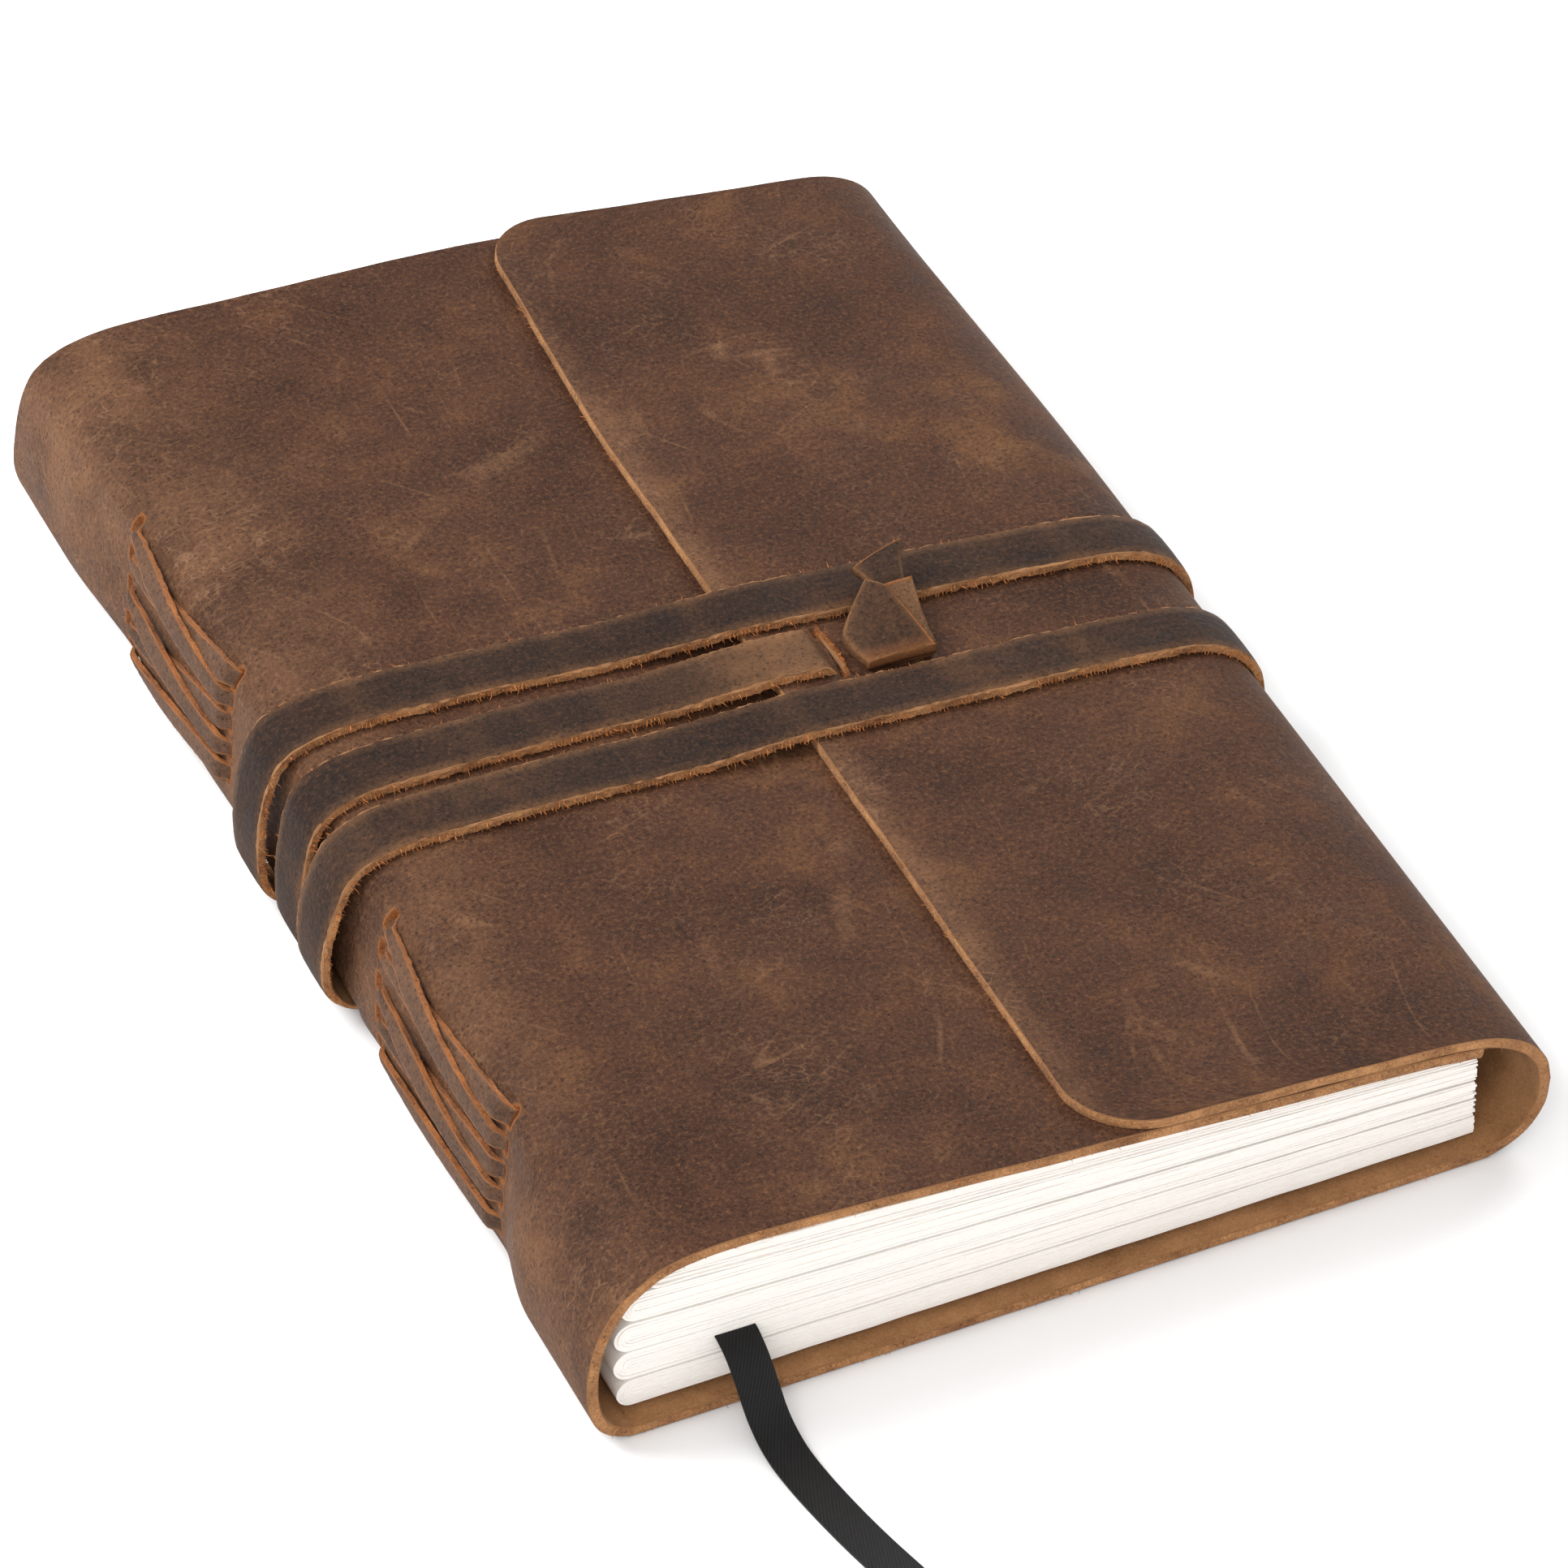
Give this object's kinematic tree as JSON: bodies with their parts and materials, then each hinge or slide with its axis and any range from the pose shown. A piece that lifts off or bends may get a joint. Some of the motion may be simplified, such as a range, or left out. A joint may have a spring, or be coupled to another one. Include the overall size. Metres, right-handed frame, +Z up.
{
  "type": "leather notebook cover",
  "caption": "Soft wrap-round leather journal cover with a fold-over flap, a wound tie strap with a stopper knot, spine-laced page signatures and a ribbon marker.",
  "frame": {"origin": "under the middle of the closed cover, on the face that it lies on", "axes": "+X from the spine to the fore-edge, +Y from the tail to the head of the pages, +Z up out of the front cover"},
  "size_m": [0.1544, 0.2773, 0.0355],
  "materials": {
    "hide": "oiled pull-up leather, mottled dark brown with tan scuffs and raw tan cut edges",
    "paper": "uncoated white paper, folded and stacked",
    "thong": "dark brown thong with tan cut edges",
    "strap": "dark brown strap with a dry, fibrous tan edge",
    "ribbon": "black satin ribbon"
  },
  "bodies": {
    "book": {"back_cover": "hide", "fore_edge_fold": "hide", "spine": "hide", "signature_1": "paper", "signature_2": "paper", "signature_3": "paper", "signature_4": "paper", "signature_5": "paper", "head_thong_1": "thong", "head_thong_2": "thong", "head_thong_3": "thong", "head_thong_4": "thong", "head_thong_5": "thong", "tail_thong_1": "thong", "tail_thong_2": "thong", "tail_thong_3": "thong", "tail_thong_4": "thong", "tail_thong_5": "thong", "ribbon_inside": "ribbon", "ribbon_marker": "ribbon", "strap_wound": "strap"},
    "flap": {"flap": "hide", "strap_root": "strap", "strap_knot": "strap"},
    "front": {"front_cover": "hide", "front_fold": "hide"}
  },
  "joints": [
    {"name": "flap_open", "type": "hinge", "parent": "book", "child": "flap", "pos_m": [0.0751, 0, 0.01225], "axis": [0, 1, 0], "range_deg": [0, 165], "deforming": ["strap_wound"]},
    {"name": "cover_open", "type": "hinge", "parent": "book", "child": "front", "pos_m": [-0.0684, 0, 0.0299], "axis": [0, -1, 0], "range_deg": [0, 192.5], "deforming": ["front_cover", "front_fold"]}
  ],
  "couplings": [
    {"joint": "cover_open", "follows": "flap_open", "ratio": 1.1667}
  ]
}
